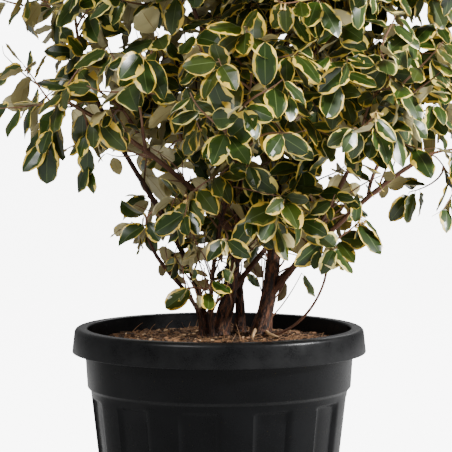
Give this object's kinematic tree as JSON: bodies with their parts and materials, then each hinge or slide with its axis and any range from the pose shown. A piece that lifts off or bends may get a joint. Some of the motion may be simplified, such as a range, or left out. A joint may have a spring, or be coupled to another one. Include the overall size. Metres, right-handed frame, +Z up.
{
  "type": "potted variegated elaeagnus shrub",
  "caption": "Broad variegated evergreen shrub with several bare-footed stems and cream-edged leaves, in a fluted round nursery pot filled with compost",
  "frame": {"origin": "centre of the pot's flat underside", "axes": "+Z up, -Y towards the side seen in the picture, +X to that viewer's right"},
  "size_m": [0.6244, 0.5489, 0.9787],
  "materials": {
    "pot": "near-black moulded plastic with a satin face, light scuffs and some dust in its grooves",
    "soil": "dark brown peat and bark compost with paler chips",
    "stem_bark": "rough dark brown bark",
    "bough_bark": "smoother red-brown bark",
    "leaves": "glossy dark green leaves with cream-yellow margins and silvery tan undersides"
  },
  "bodies": {
    "root": {"pot": "pot", "root_ball": "soil", "stem_middle": "stem_bark", "stem_right": "stem_bark", "stem_left": "stem_bark", "stem_slim": "stem_bark", "stem_thin_left": "stem_bark", "stem_back": "stem_bark", "shoot_low": "stem_bark", "bough_left_long": "bough_bark", "bough_back_low": "bough_bark", "bough_right_inner": "bough_bark", "bough_right_long": "bough_bark", "bough_low_left_centre": "bough_bark", "bough_low_right_centre": "bough_bark", "bough_back_low_left": "bough_bark", "bough_left_front": "bough_bark", "bough_right_far": "bough_bark", "bough_back_right": "bough_bark", "bough_left_back": "bough_bark", "bough_upper_front_left": "bough_bark", "bough_upper_front_right": "bough_bark", "bough_upper_right": "bough_bark", "bough_upper_back_right": "bough_bark", "bough_upper_back_left": "bough_bark", "bough_crown_left": "bough_bark", "leaves_low_sprig": "leaves", "leaves_left_low": "leaves", "leaves_low_left_centre": "leaves", "leaves_low_right_centre": "leaves", "leaves_right_low": "leaves", "leaves_right_hanging": "leaves", "leaves_back_low_left": "leaves", "leaves_back_low_right": "leaves", "leaves_left_far": "leaves", "leaves_left_front": "leaves", "leaves_front": "leaves", "leaves_right_front": "leaves", "leaves_right_far": "leaves", "leaves_back_right": "leaves", "leaves_back_left": "leaves", "leaves_left_back": "leaves", "leaves_upper_left": "leaves", "leaves_upper_front_left": "leaves", "leaves_upper_front_right": "leaves", "leaves_upper_right": "leaves", "leaves_upper_back_right": "leaves", "leaves_upper_back_left": "leaves", "leaves_crown_left": "leaves", "leaves_crown_right": "leaves", "leaves_crown_top": "leaves"}
  },
  "joints": []
}
